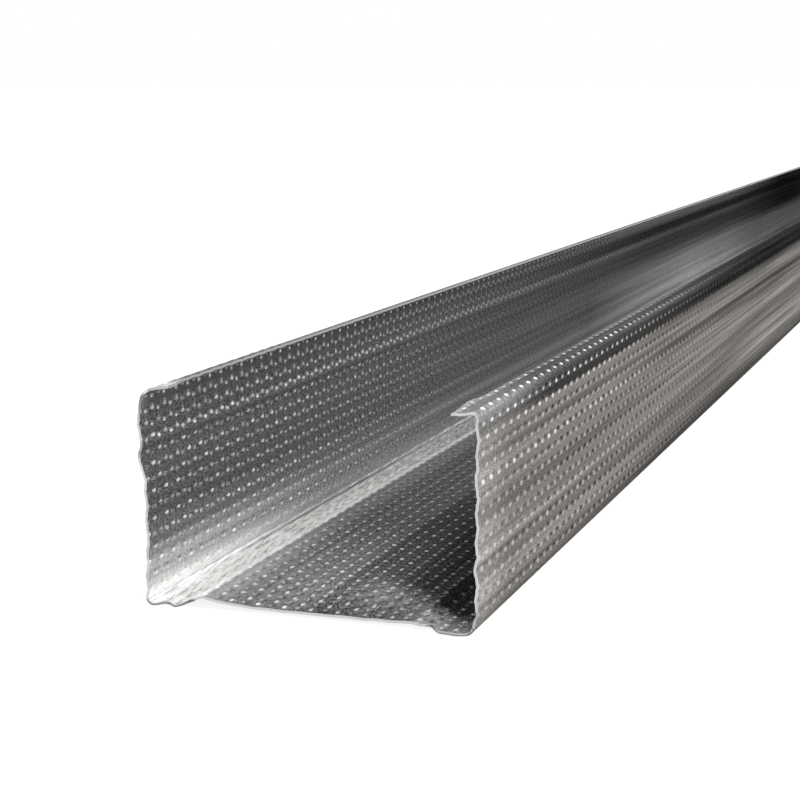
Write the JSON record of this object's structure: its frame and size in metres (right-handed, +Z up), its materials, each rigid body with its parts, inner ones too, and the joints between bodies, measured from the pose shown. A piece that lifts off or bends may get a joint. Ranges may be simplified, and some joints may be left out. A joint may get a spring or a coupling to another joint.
{
  "type": "drywall metal stud",
  "caption": "Roll-formed C-shaped stud of thin zinc-coated steel for drywall frames, with turned-in lips, grooved flanges and a web with a raised panel.",
  "frame": {"origin": "middle of the footprint, on the surface that the web lies on", "axes": "+Y along the stud, +X across the web from the taller flange to the shorter one, +Z up from the web to the lips"},
  "size_m": [0.075, 2.5, 0.049],
  "materials": {
    "zinc_sheet": "hot-dip zinc coating on dimpled steel strip, dull grey with brighter dimple crowns"
  },
  "bodies": {
    "root": {"stud": "zinc_sheet"}
  },
  "joints": []
}
